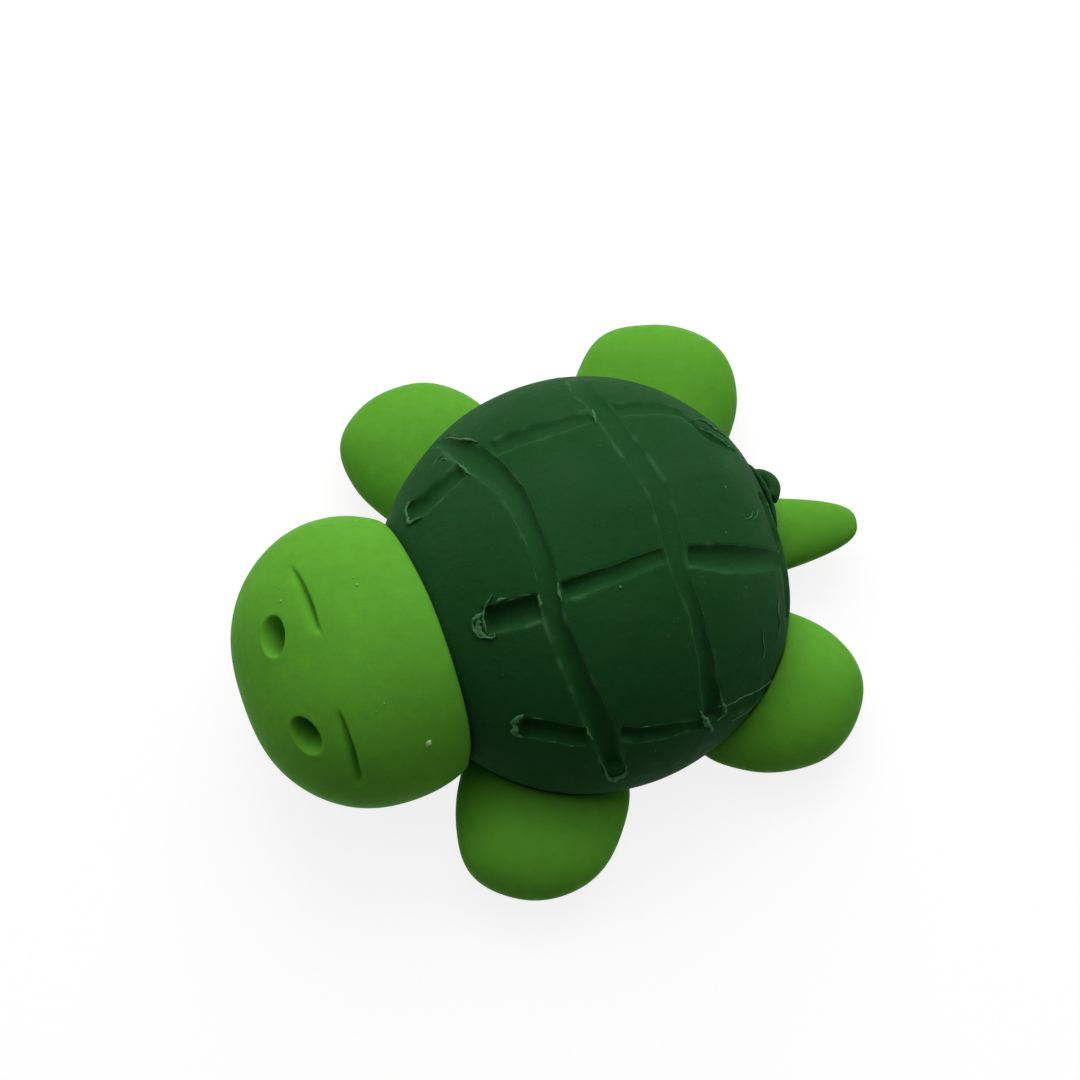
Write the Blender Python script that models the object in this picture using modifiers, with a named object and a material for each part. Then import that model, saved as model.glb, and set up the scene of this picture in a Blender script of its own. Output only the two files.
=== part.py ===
"""Clay tortoise figurine: a gouged dark green shell with a light green head, four legs and a tail.

Every piece is a lump of modelling clay pressed against the shell on a table. The table is z = 0, the
head points along -Y and the left side of the animal is +X. Bearings are measured on the plan from the
heading, positive to the left. Latitudes are measured up from the widest line of a lump.
"""
import math

import bmesh
import bpy
from mathutils import Matrix, Vector

MM = 0.001

# Clearance between lumps that are pressed together, and the distance at which loose points are welded
PRESS_GAP = 0.3 * MM
WELD_DISTANCE = 0.001 * MM

# Shell
SHELL_WIDTH = 41.0 * MM
SHELL_LENGTH = 39.2 * MM
SHELL_HEIGHT = 23.5 * MM
SHELL_RIM_HEIGHT = 8.3 * MM
SHELL_BELLY_DROP = 9.4 * MM

# Gouged grooves of the shell, each with the points that its tool passed: bearing and latitude in degrees
GROOVE_WIDTH = 2.5 * MM
GROOVE_DEPTH = 1.0 * MM
GROOVES = {
    "front_cross": ((-61, 16), (-68, 55), (8, 77), (62, 58), (78, 16)),
    "middle_cross": ((-110, 16), (-129, 52), (-175, 66), (126, 53), (109, 22)),
    "rear_cross": ((-172, 19), (180, 18), (165, 15), (150, 11)),
    "centre_long": ((16, 51), (90, 78), (160, 43), (166, 19)),
    "left_long": ((44, 33), (80, 33), (105, 27)),
    "right_long": ((-33, 31), (-69, 53), (-125, 46), (-145, 27), (-160, 22)),
}

# Head
HEAD_WIDTH = 28.6 * MM
HEAD_LENGTH = 24.6 * MM
HEAD_HEIGHT = 20.3 * MM
HEAD_RIM_HEIGHT = 10.0 * MM
HEAD_CHIN_DROP = 11.6 * MM
HEAD_PRESS = 9.8 * MM
# Fullness of the nape, as the power of its curve, where 2 is a plain oval
HEAD_NAPE_POWER = 2.4

# Face, rolled to the left about the heading
FACE_ROLL = 12.0
EYE_BEARING = 30.0
EYE_LATITUDE = 47.0
EYE_WIDTH = 3.8 * MM
EYE_HEIGHT = 2.6 * MM
EYE_DEPTH = 3.6 * MM
EYE_TILT = 17.0
LEFT_BROW_BEARING = 58.5
LEFT_BROW_LATITUDE = 52.5
RIGHT_BROW_BEARING = -62.0
RIGHT_BROW_LATITUDE = 57.0
BROW_LENGTH = 9.0 * MM
BROW_WIDTH = 0.7 * MM
BROW_DEPTH = 0.9 * MM

# Legs: where each crosses the rim of the shell, how it turns there, how much is tucked under, and its lump
LEGS = {
    "front_left_leg": {"bearing": 58.5, "turn": -5.0, "tuck": 8.5 * MM,
                       "length": 18.4 * MM, "width": 16.8 * MM, "thickness": 7.4 * MM},
    "front_right_leg": {"bearing": -63.0, "turn": 7.0, "tuck": 8.6 * MM,
                        "length": 18.4 * MM, "width": 15.4 * MM, "thickness": 8.2 * MM},
    "rear_left_leg": {"bearing": 133.5, "turn": 6.0, "tuck": 8.6 * MM,
                      "length": 17.6 * MM, "width": 16.2 * MM, "thickness": 8.0 * MM},
    "rear_right_leg": {"bearing": -128.5, "turn": -5.0, "tuck": 8.2 * MM,
                       "length": 18.2 * MM, "width": 17.0 * MM, "thickness": 8.4 * MM},
}
LEG_RIM_HEIGHT = 3.7 * MM
LEG_SOLE_DROP = 4.4 * MM

# Tail
TAIL_LENGTH = 15.9 * MM
TAIL_TUCK = 7.5 * MM
TAIL_DIAMETER = 7.4 * MM
TAIL_TIP_DIAMETER = 3.4 * MM
TAIL_AXIS_HEIGHT = 4.1 * MM
TAIL_TURN = 10.0
TAIL_LIFT = 2.0

# Facets
SHELL_SEGMENTS = 64
HEAD_SEGMENTS = 48
LEG_SEGMENTS = 32
MARK_SEGMENTS = 16
TAIL_STEPS = 24
TAIL_TIP_STEPS = 5
GROOVE_STEPS = 15

# Clay colours
DARK_GREEN = (0.010, 0.047, 0.012, 1.0)
LIGHT_GREEN = (0.080, 0.310, 0.022, 1.0)


def clay(name, colour, roughness):
    """A plain clay material."""
    material = bpy.data.materials.new(name)
    material.use_nodes = True
    shader = material.node_tree.nodes["Principled BSDF"]
    shader.inputs["Base Color"].default_value = colour
    shader.inputs["Roughness"].default_value = roughness
    shader.inputs["Metallic"].default_value = 0.0
    return material


def add_mesh_object(name, shape, collection):
    """Turn a bmesh into a named, smooth shaded object of a collection."""
    for face in shape.faces:
        face.smooth = True
    mesh = bpy.data.meshes.new(name)
    shape.to_mesh(mesh)
    shape.free()
    thing = bpy.data.objects.new(name, mesh)
    collection.objects.link(thing)
    return thing


def add_cutter(name, shape):
    """Add a tool that only cuts other pieces."""
    tool = add_mesh_object(name, shape, cutters)
    tool.display_type = "WIRE"
    tool.hide_render = True
    return tool


def cut(piece, tool):
    """Take a tool's shape out of a piece."""
    step = piece.modifiers.new(tool.name, "BOOLEAN")
    step.operation = "DIFFERENCE"
    step.solver = "EXACT"
    step.object = tool


def lump(width, length, rise, drop, segments, grow=0.0, nape_power=2.0):
    """A ball pressed to its own half sizes above and below its widest line, grown all round by grow."""
    shape = bmesh.new()
    bmesh.ops.create_uvsphere(shape, u_segments=segments, v_segments=segments // 2, radius=1.0)
    fill_nape(shape, nape_power)
    for point in shape.verts:
        height = rise if point.co.z > 0.0 else drop
        point.co.x *= width / 2 + grow
        point.co.y *= length / 2 + grow
        point.co.z *= height + grow
    return shape


def fill_nape(shape, power):
    """Round out the upper rear of a unit ball: its curve there becomes one of the given power."""
    for point in shape.verts:
        if point.co.y > 0.0 and point.co.z > 0.0:
            round_reach = math.hypot(point.co.y, point.co.z)
            full_reach = (point.co.y ** power + point.co.z ** power) ** (1.0 / power)
            point.co.y *= round_reach / full_reach
            point.co.z *= round_reach / full_reach


def press_on_table(shape):
    """Flatten what lies below the table, as one flat face at z = 0."""
    everything = shape.verts[:] + shape.edges[:] + shape.faces[:]
    bmesh.ops.bisect_plane(shape, geom=everything, plane_co=(0, 0, 0), plane_no=(0, 0, -1), clear_outer=True)
    rim = [edge for edge in shape.edges if edge.is_boundary]
    bmesh.ops.edgeloop_fill(shape, edges=rim)
    bmesh.ops.recalc_face_normals(shape, faces=shape.faces[:])


def unit_direction(bearing, latitude):
    """The direction on a unit ball for a bearing and a latitude in degrees."""
    across = math.cos(math.radians(latitude))
    side = across * math.sin(math.radians(bearing))
    ahead = across * math.cos(math.radians(bearing))
    return Vector((side, -ahead, math.sin(math.radians(latitude))))


def heading(bearing):
    """The level direction of a bearing, as a unit vector."""
    return unit_direction(bearing, 0.0)


def shell_point(direction):
    """The point of the shell's dome for a unit direction, and the outward normal there."""
    halves = Vector((SHELL_WIDTH / 2, SHELL_LENGTH / 2, SHELL_HEIGHT - SHELL_RIM_HEIGHT))
    point = Vector(a * b for a, b in zip(direction, halves)) + Vector((0, 0, SHELL_RIM_HEIGHT))
    normal = Vector(a / b for a, b in zip(direction, halves)).normalized()
    return point, normal


def head_point(direction):
    """The point of the head for a unit direction, and the outward normal there."""
    halves = Vector((HEAD_WIDTH / 2, HEAD_LENGTH / 2, HEAD_HEIGHT - HEAD_RIM_HEIGHT))
    point = Vector(a * b for a, b in zip(direction, halves)) + head_centre
    normal = Vector(a / b for a, b in zip(direction, halves)).normalized()
    return point, normal


def rim_point(bearing):
    """The point of the shell's widest line that lies at a bearing, at table height."""
    level = heading(bearing)
    reach = 1.0 / math.hypot(level.x / (SHELL_WIDTH / 2), level.y / (SHELL_LENGTH / 2))
    return level * reach


def smooth_course(stops, count):
    """Evenly stepped directions on the unit ball along a smooth curve through the stops."""
    ends = [stops[0] * 2 - stops[1]] + stops + [stops[-1] * 2 - stops[-2]]
    course = []
    for index in range(count):
        place = index / (count - 1) * (len(stops) - 1)
        span = min(int(place), len(stops) - 2)
        t = place - span
        a, b, c, d = ends[span:span + 4]
        bend = b * 2 + (c - a) * t + (a * 2 - b * 5 + c * 4 - d) * t ** 2 + (b * 3 - a - c * 3 + d) * t ** 3
        course.append(bend.normalized())
    return course


def groove_tool(name, stops):
    """A round gouge swept along the dome, sunk to the groove's depth, with blunt ends."""
    radius = (GROOVE_WIDTH ** 2 / 4 + GROOVE_DEPTH ** 2) / (2 * GROOVE_DEPTH)
    lift = radius - GROOVE_DEPTH
    curve = bpy.data.curves.new(name, "CURVE")
    curve.dimensions = "3D"
    curve.bevel_depth = radius
    curve.bevel_resolution = 2
    curve.use_fill_caps = True
    course = smooth_course([unit_direction(*stop) for stop in stops], GROOVE_STEPS)
    spline = curve.splines.new("POLY")
    spline.points.add(len(course) - 1)
    for knot, direction in zip(spline.points, course):
        point, normal = shell_point(direction)
        knot.co = (*(point + normal * lift), 1.0)
    sweep = bpy.data.objects.new(name, curve)
    cutters.objects.link(sweep)
    solid = bpy.data.meshes.new_from_object(sweep.evaluated_get(bpy.context.evaluated_depsgraph_get()))
    bpy.data.objects.remove(sweep)
    shape = bmesh.new()
    shape.from_mesh(solid)
    bmesh.ops.remove_doubles(shape, verts=shape.verts[:], dist=WELD_DISTANCE)
    bmesh.ops.recalc_face_normals(shape, faces=shape.faces[:])
    return add_cutter(name, shape)


def face_tool(name, bearing, latitude, along, across, depth, tilt=0.0):
    """A rounded tool pushed into the rolled face.

    Its length along runs sideways, tilted in degrees, and its width across runs up the face.
    """
    roll = Matrix.Rotation(math.radians(FACE_ROLL), 3, "Y")
    point, normal = head_point(roll @ unit_direction(bearing, latitude))
    upward = (Vector((0, 1, 0)) - normal * normal.y).normalized()
    sideways = upward.cross(normal)
    shape = lump(along, across, depth, depth, MARK_SEGMENTS)
    frame = Matrix((sideways, upward, normal)).transposed().to_4x4()
    turn = Matrix.Rotation(math.radians(tilt), 4, "Z")
    bmesh.ops.transform(shape, matrix=Matrix.Translation(point) @ frame @ turn, verts=shape.verts)
    return add_cutter(name, shape)


def add_shell():
    """The pressed dome with its gouged grooves."""
    rise = SHELL_HEIGHT - SHELL_RIM_HEIGHT
    shape = lump(SHELL_WIDTH, SHELL_LENGTH, rise, SHELL_BELLY_DROP, SHELL_SEGMENTS)
    bmesh.ops.translate(shape, vec=(0, 0, SHELL_RIM_HEIGHT), verts=shape.verts)
    press_on_table(shape)
    shell = add_mesh_object("shell", shape, figure)
    for name, stops in GROOVES.items():
        cut(shell, groove_tool(name + "_gouge", stops))
    return shell


def shell_seat():
    """The shell's outside grown by the press gap, which shapes what is pressed against it."""
    rise = SHELL_HEIGHT - SHELL_RIM_HEIGHT
    shape = lump(SHELL_WIDTH, SHELL_LENGTH, rise, SHELL_BELLY_DROP, SHELL_SEGMENTS, PRESS_GAP)
    bmesh.ops.translate(shape, vec=(0, 0, SHELL_RIM_HEIGHT), verts=shape.verts)
    return add_cutter("shell_seat", shape)


def add_head(seat):
    """The head lapped over the front of the shell, with poked eyes and cut brows."""
    rise = HEAD_HEIGHT - HEAD_RIM_HEIGHT
    sizes = (HEAD_WIDTH, HEAD_LENGTH, rise, HEAD_CHIN_DROP)
    shape = lump(*sizes, HEAD_SEGMENTS, nape_power=HEAD_NAPE_POWER)
    bmesh.ops.translate(shape, vec=head_centre, verts=shape.verts)
    press_on_table(shape)
    head = add_mesh_object("head", shape, figure)
    cut(head, seat)
    eye_size = (EYE_WIDTH, EYE_HEIGHT, EYE_DEPTH)
    cut(head, face_tool("left_eye_poke", EYE_BEARING, EYE_LATITUDE, *eye_size, EYE_TILT))
    cut(head, face_tool("right_eye_poke", -EYE_BEARING, EYE_LATITUDE, *eye_size, -EYE_TILT))
    brow_size = (BROW_LENGTH, BROW_WIDTH, BROW_DEPTH)
    cut(head, face_tool("left_brow_cut", LEFT_BROW_BEARING, LEFT_BROW_LATITUDE, *brow_size))
    cut(head, face_tool("right_brow_cut", RIGHT_BROW_BEARING, RIGHT_BROW_LATITUDE, *brow_size))
    return head


def add_leg(name, leg, seat):
    """A pressed ball tucked under the rim of the shell, flat on the table."""
    shape = lump(leg["length"], leg["width"], leg["thickness"] - LEG_RIM_HEIGHT, LEG_SOLE_DROP, LEG_SEGMENTS)
    outward = heading(leg["bearing"] + leg["turn"])
    middle = rim_point(leg["bearing"]) + outward * (leg["length"] / 2 - leg["tuck"])
    middle.z = LEG_RIM_HEIGHT
    spin = Matrix.Rotation(math.atan2(outward.y, outward.x), 4, "Z")
    bmesh.ops.transform(shape, matrix=Matrix.Translation(middle) @ spin, verts=shape.verts)
    press_on_table(shape)
    piece = add_mesh_object(name, shape, figure)
    cut(piece, seat)
    return piece


def add_tail(seat):
    """A roll with a tapered, round tip, turned about its own axis and pressed to the rear of the shell."""
    tip = TAIL_TIP_DIAMETER / 2
    taper = math.atan2(TAIL_DIAMETER / 2 - tip, TAIL_LENGTH - TAIL_TUCK - tip)
    profile = bmesh.new()
    points = []
    for index in range(TAIL_TIP_STEPS):
        angle = (math.pi / 2 - taper) * index / (TAIL_TIP_STEPS - 1)
        points.append((tip * math.sin(angle), 0.0, TAIL_LENGTH - tip + tip * math.cos(angle)))
    points.append((TAIL_DIAMETER / 2, 0.0, TAIL_TUCK))
    points.append((TAIL_DIAMETER / 2, 0.0, 0.0))
    points.append((0.0, 0.0, 0.0))
    knots = [profile.verts.new(point) for point in points]
    for upper, lower in zip(knots, knots[1:]):
        profile.edges.new((upper, lower))
    tail = add_mesh_object("tail", profile, figure)
    turned = tail.modifiers.new("turned", "SCREW")
    turned.axis = "Z"
    turned.steps = TAIL_STEPS
    turned.render_steps = TAIL_STEPS
    turned.use_merge_vertices = True
    turned.merge_threshold = WELD_DISTANCE
    turned.use_smooth_shade = True
    outward = unit_direction(180.0 - TAIL_TURN, TAIL_LIFT)
    root = rim_point(180.0) - outward * TAIL_TUCK + Vector((0, 0, TAIL_AXIS_HEIGHT))
    tail.matrix_world = Matrix.Translation(root) @ outward.to_track_quat("Z", "Y").to_matrix().to_4x4()
    cut(tail, seat)
    return tail


for thing in list(bpy.data.objects):
    bpy.data.objects.remove(thing)
figure = bpy.data.collections.new("clay_tortoise")
cutters = bpy.data.collections.new("clay_tortoise_cutters")
bpy.context.scene.collection.children.link(figure)
bpy.context.scene.collection.children.link(cutters)
head_centre = Vector((0, HEAD_PRESS - SHELL_LENGTH / 2 - HEAD_LENGTH / 2, HEAD_RIM_HEIGHT))

dark_clay = clay("dark_green_clay", DARK_GREEN, 0.5)
light_clay = clay("light_green_clay", LIGHT_GREEN, 0.5)
add_shell().data.materials.append(dark_clay)
pressed = shell_seat()
add_head(pressed).data.materials.append(light_clay)
for leg_name, leg_sizes in LEGS.items():
    add_leg(leg_name, leg_sizes, pressed).data.materials.append(light_clay)
add_tail(pressed).data.materials.append(light_clay)
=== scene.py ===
"""Clay tortoise figurine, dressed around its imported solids.

Lengths are metres. The table is z = 0, the head points along -Y and the animal's left side is +X.
Bearings run on the plan from the heading, positive to the left, and latitudes up from a lump's widest line.
"""
import math

import bpy
import numpy as np
from bpy.props import FloatProperty, FloatVectorProperty, PointerProperty
from mathutils import Matrix, Vector


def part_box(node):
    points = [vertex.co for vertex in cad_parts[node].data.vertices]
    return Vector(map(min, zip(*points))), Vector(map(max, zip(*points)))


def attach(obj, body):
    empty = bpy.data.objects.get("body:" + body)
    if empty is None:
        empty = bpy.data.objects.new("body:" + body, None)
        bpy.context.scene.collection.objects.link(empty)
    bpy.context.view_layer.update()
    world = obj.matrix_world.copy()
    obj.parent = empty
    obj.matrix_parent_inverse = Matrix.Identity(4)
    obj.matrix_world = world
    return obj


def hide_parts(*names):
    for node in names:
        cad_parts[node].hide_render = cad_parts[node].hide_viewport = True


bl_info = {
    "name": "Clay tortoise figurine",
    "version": (1, 0, 0),
    "blender": (4, 5, 0),
    "location": "3D View > Sidebar > Tortoise",
    "description": "A tortoise pressed by hand from two greens of modelling clay, with a gouged shell",
    "category": "Add Mesh",
}

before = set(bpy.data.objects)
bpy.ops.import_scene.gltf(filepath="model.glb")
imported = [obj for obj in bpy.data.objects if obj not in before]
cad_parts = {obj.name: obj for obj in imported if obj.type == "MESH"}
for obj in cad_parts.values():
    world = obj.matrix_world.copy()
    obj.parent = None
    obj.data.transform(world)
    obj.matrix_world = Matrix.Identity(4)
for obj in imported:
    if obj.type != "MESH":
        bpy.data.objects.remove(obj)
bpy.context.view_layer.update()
SHELL_LOW, SHELL_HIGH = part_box("shell")
HEAD_LOW, HEAD_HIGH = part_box("head")

MM = 0.001
DEG = math.pi / 180.0
ROOT = "root"
LEFT, REAR, UP = np.eye(3)

# The photograph: its side and the place of the belly's middle in it, in pixels, then the sensor's width in mm
# and the directions on the table that run away from the camera and to its right
PHOTO_SIDE = 1080.0
BELLY_PIXEL = (583.8, 610.7)
SENSOR = 36.0
PHOTO_AWAY = np.array([-0.94, 0.342, 0.0])
PHOTO_RIGHT = np.array([0.342, 0.94, 0.0])

# Gouged grooves: the power of the gouge's curve, then the points that the tool passed, each with its bearing
# and latitude in degrees and the width and depth in mm that it reached there
CROSS_GROOVES = {
    "front_cross": (2.8, (
        (-61, 13, 1.2, 0.15), (-62.3, 24.5, 1.7, 0.35), (-61.6, 35.2, 2.2, 0.5), (-61.1, 44.5, 2.8, 0.6),
        (-60.1, 54.7, 2.8, 0.6), (-57.5, 62.8, 2.4, 0.6), (-53, 68.2, 2.25, 0.55), (-38.6, 74, 1.9, 0.5),
        (-16, 77.5, 1.85, 0.45), (12.3, 77.4, 1.9, 0.45), (35, 73.5, 2.0, 0.5), (48.7, 67.2, 1.9, 0.55),
        (59.8, 60.5, 2.0, 0.65), (67.7, 51.6, 2.25, 0.75), (72, 43.8, 2.45, 0.85),
        (75.6, 34.4, 2.55, 0.95), (77, 25.5, 2.3, 1.0), (78, 18.2, 2.0, 1.0))),
    "middle_cross": (2.8, (
        (-106.5, 14, 1.4, 0.2), (-110.2, 36.4, 1.95, 0.3), (-115.4, 44.3, 1.9, 0.3),
        (-122.8, 52.4, 2.2, 0.27), (-134.9, 59.6, 2.3, 0.26), (-150.4, 63.4, 2.3, 0.28),
        (-165.2, 64.7, 2.2, 0.32), (179.3, 65.7, 2.1, 0.34), (166.2, 65.7, 2.05, 0.34),
        (151.4, 64.2, 1.9, 0.34), (139.7, 60.4, 1.6, 0.35), (130.8, 53.7, 1.45, 0.42),
        (123.8, 47.6, 1.5, 0.5), (119.5, 41.3, 1.7, 0.6), (114.9, 34, 1.95, 0.7), (112.4, 26.4, 2.3, 0.8),
        (110.2, 21.2, 2.0, 0.8))),
    "rear_cross": (2.4, (
        (-176, 17, 2.2, 0.9), (175, 17, 2.2, 0.9), (165, 15, 2.2, 0.9), (150, 11, 1.8, 0.5))),
}
LONG_GROOVES = {
    "centre_long": (2.8, (
        (16.8, 55, 2.65, 1.1), (20.7, 58.9, 2.75, 1.1), (25.9, 63.1, 2.8, 1.05), (31.6, 66.8, 2.7, 0.95),
        (36.3, 69, 2.4, 0.9), (45.3, 74.4, 1.9, 0.75), (57.1, 76.8, 2.0, 0.7), (83.8, 78.6, 1.9, 0.55),
        (109.1, 77.9, 1.75, 0.45), (131.9, 75.2, 1.7, 0.4), (145.1, 71.7, 1.6, 0.35),
        (151.9, 67.8, 1.5, 0.35), (154.8, 61.4, 1.95, 0.55), (156.6, 54.7, 2.4, 0.65),
        (158.5, 46.8, 2.75, 0.7), (160.6, 37.4, 2.5, 0.6), (162.8, 26.6, 2.0, 0.3),
        (164.2, 18.1, 1.6, 0.05))),
    "left_long": (2.8, (
        (49.2, 33, 2.2, 1.0), (54, 34.2, 2.3, 1.05), (59.9, 34.4, 2.4, 1.0), (65.8, 33.9, 2.3, 1.0),
        (70.8, 33.5, 2.0, 0.95), (81, 33.2, 1.6, 0.75), (86.8, 30.7, 1.8, 0.75), (92.6, 29.1, 1.7, 0.65),
        (98.6, 27.1, 1.5, 0.5), (103.7, 24.5, 1.3, 0.3), (115.1, 18.6, 1.7, 0.4),
        (121.4, 12.5, 2.0, 0.45), (126.5, 7.5, 2.0, 0.4), (131, 2, 1.6, 0.2))),
    "right_long": (2.6, (
        (-35.8, 30.9, 2.2, 0.5), (-37.9, 37.6, 2.45, 0.65), (-42, 40.8, 2.4, 0.65),
        (-46.6, 43.2, 2.4, 0.65), (-51.5, 45, 2.4, 0.65), (-54.3, 46.1, 2.3, 0.65),
        (-69.7, 50.5, 2.2, 0.5), (-75.5, 51.7, 2.3, 0.5), (-83.7, 53.4, 2.2, 0.45),
        (-94.3, 54.1, 2.15, 0.4), (-104, 53.4, 2.0, 0.4), (-115.1, 50.3, 1.8, 0.35),
        (-125.8, 45.4, 2.0, 0.4), (-131.4, 41.9, 2.1, 0.4), (-136, 38.2, 2.1, 0.35),
        (-140.4, 34.6, 1.9, 0.3), (-144.3, 32.6, 1.2, 0.3), (-146.8, 33.2, 0.9, 0.4),
        (-151.3, 32.6, 1.5, 0.55), (-153.8, 31.5, 1.9, 0.6), (-157.6, 27.6, 1.5, 0.5),
        (-161.1, 22, 0.7, 0.15))),
}
# The wall left where grooves cross, the easing of a groove's edges, the reach of its blunt ends, the width of
# the torn rim beside it, how far beyond its edge it is looked for, and how many points are measured at a time
WALL_AT_CROSSING = 0.35 * MM
GROOVE_EASE = 0.18 * MM
GROOVE_END = 0.3 * MM
TORN_RIM = 0.2 * MM
GROOVE_MARGIN = 1.2 * MM
BATCH = 8000
# A stretch between crossings with no more points than this is left out
SHORTEST_STRETCH = 8

# Grooves whose lips were smoothed down, with the share that is left
LIP_SHARES = {"front_cross": 0.7, "centre_long_1": 0.6, "centre_long_2": 0.35, "middle_cross": 0.8}

# Torn clay at groove ends and edges, with the hairs and scratches that it left: the points that each torn
# edge passes, with bearing and latitude in degrees, half width and rise in mm
TORN_EDGES = (
    ((-39.8, 33, 0.05, 0.06), (-39.2, 30.2, 0.12, 0.12), (-37.2, 29.6, 0.14, 0.16),
     (-35, 30.8, 0.15, 0.2), (-32.5, 32.7, 0.18, 0.24), (-31.5, 34.5, 0.2, 0.26),
     (-32.2, 36.8, 0.14, 0.22), (-33.2, 39.7, 0.06, 0.1)),
    ((9.6, 61, 0.08, 0.2), (11.7, 58.3, 0.12, 0.22), (13, 56.7, 0.1, 0.2), (16, 55, 0.1, 0.2),
     (18.8, 53.9, 0.12, 0.2), (21.4, 53.2, 0.08, 0.14)),
    ((13.6, 55.8, 0.2, 0.1), (14, 53.6, 0.32, 0.12), (16.6, 52, 0.35, 0.14), (20.2, 51.6, 0.26, 0.12),
     (22.6, 52.6, 0.15, 0.1)),
    ((14.2, 54.4, 0.1, 0.2), (13.2, 52.7, 0.17, 0.24), (14.5, 51.3, 0.15, 0.22), (17.3, 50.7, 0.12, 0.2),
     (20.2, 50.8, 0.13, 0.2), (22.3, 51.8, 0.15, 0.24), (24.8, 53.8, 0.14, 0.24), (24.2, 54.9, 0.07, 0.12)),
    ((29.2, 71.1, 0.08, 0.12), (34.9, 69.3, 0.14, 0.2), (37.1, 68.3, 0.06, 0.1)),
    ((38.1, 76.5, 0.1, 0.12), (43.8, 74.6, 0.14, 0.15), (49.7, 72.4, 0.08, 0.1)),
    ((13.3, 61.1, 0.1, 0.12), (14.4, 62.6, 0.18, 0.18), (15.9, 64.2, 0.06, 0.1)),
    ((48.5, 38, 0.18, 0.22), (46.9, 35.6, 0.34, 0.34), (46.8, 32.8, 0.4, 0.38), (48, 30.3, 0.34, 0.34),
     (50.1, 29.4, 0.14, 0.2)),
    ((70.2, 37.7, 0.08, 0.1), (70.9, 34.6, 0.14, 0.18), (72.1, 32.6, 0.08, 0.1)),
    ((74.8, 21.2, 0.08, 0.12), (75.8, 15.9, 0.17, 0.26), (77, 12.9, 0.22, 0.3), (79, 13.5, 0.2, 0.3),
     (80.7, 15, 0.16, 0.26), (81.5, 19.2, 0.08, 0.12)),
    ((108.2, 28.4, 0.14, 0.2), (107.7, 25.3, 0.3, 0.4), (107.9, 22.3, 0.32, 0.45),
     (108.4, 16.7, 0.22, 0.35)),
    ((116.3, 28.4, 0.06, 0.1), (115.3, 24.7, 0.12, 0.22), (114.7, 20.9, 0.16, 0.32),
     (113.3, 19.2, 0.14, 0.3), (111.3, 18.9, 0.08, 0.15)),
    ((-147.6, 31, 0.05, 0.05), (-148.2, 28, 0.1, 0.1), (-150, 25.3, 0.1, 0.12), (-153, 23.4, 0.13, 0.14),
     (-155.2, 21, 0.1, 0.12), (-157.2, 17.3, 0.06, 0.06)),
    ((-150.2, 32.9, 0.06, 0.06), (-152.2, 32.6, 0.1, 0.16), (-154.1, 31.2, 0.13, 0.24),
     (-156.3, 29.4, 0.14, 0.26), (-158.9, 26.8, 0.13, 0.2), (-161.1, 21.1, 0.06, 0.08)),
    ((-63.1, 22.7, 0.06, 0.06), (-64.6, 34.7, 0.12, 0.14), (-66, 39.5, 0.16, 0.18),
     (-67.1, 43.3, 0.08, 0.1)),
    ((-55.9, 42.6, 0.08, 0.1), (-54.9, 46.8, 0.14, 0.16), (-53.6, 50.8, 0.08, 0.1)),
    ((-114.3, 48.1, 0.08, 0.1), (-115.3, 50.8, 0.14, 0.18), (-116.4, 54.2, 0.08, 0.1)),
    ((-52.9, 32.2, 0.05, 0.04), (-55, 31.3, 0.06, 0.05), (-57.1, 32.7, 0.04, 0.04)),
    ((-53.8, 34.1, 0.04, 0.04), (-55.9, 35.2, 0.06, 0.05), (-55.5, 38.3, 0.04, 0.04)),
    ((176.1, 38.1, 0.04, 0.04), (174.7, 36.7, 0.05, 0.05), (175.6, 33.6, 0.05, 0.05),
     (177.8, 31.2, 0.04, 0.04)),
    ((174.6, 33, 0.04, 0.04), (176.3, 29.7, 0.05, 0.05), (178.5, 27.5, 0.04, 0.04)),
    ((140.7, 27.9, 0.04, 0.04), (138.3, 25.1, 0.06, 0.06), (136.1, 21.7, 0.06, 0.06),
     (133.7, 20.4, 0.05, 0.05)),
    ((152.3, 21.7, 0.04, 0.04), (148.6, 21.1, 0.06, 0.06), (145.7, 17.6, 0.05, 0.05),
     (142.4, 15.7, 0.04, 0.04)),
    ((113.9, 24.1, 0.04, 0.04), (117.2, 20.7, 0.06, 0.06), (122, 17.6, 0.09, 0.1),
     (126.6, 11.7, 0.06, 0.06), (131.3, 5.2, 0.09, 0.1), (133.9, 0, 0.05, 0.05)),
    ((115.7, 11.4, 0.04, 0.04), (119.8, 7.7, 0.07, 0.07), (124.5, 3.1, 0.06, 0.06),
     (129.3, -2, 0.08, 0.08)),
)
# Crumbs lying on the head and the shell: bearing, latitude and size in mm
HEAD_CRUMBS = (
    (-112, 72, 0.36), (-108, 69, 0.26), (-40, 54, 0.3), (-48, 50, 0.2), (84, 58, 0.2), (92, 60, 0.2),
)
SHELL_CRUMBS = (
    (107.7, 74.1, 0.34), (-173.3, 40.6, 0.32), (168.8, 47.2, 0.24), (150, 40, 0.18), (-120, 62, 0.16),
)
PALE_CHIP = (106.5, 36.1, 0.74)
# Patch of the shell rubbed pale by a finger: bearing, latitude, reach in mm and how pale
RUBBED_PATCH = (-165.3, 31.2, 1.5, 0.16)
# Rounding of the shell's edge on the table
BELLY_EDGE = 0.6 * MM
# Lips of the grooves: their least half thickness, the size from which they are as pale as torn clay and the
# paleness of the thinnest, the depth of groove from which they reach their height, and the depths between
# which another groove flattens them
THINNEST_LIP = 0.02 * MM
FULL_LIP = 0.07 * MM
THIN_LIP_PALENESS = 0.45
FULL_LIP_DEPTH = 0.6 * MM
FLATTENED_LIP = (0.12 * MM, 0.35 * MM)
# Half thickness of the thinnest torn clay
THINNEST = 0.03 * MM
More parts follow.
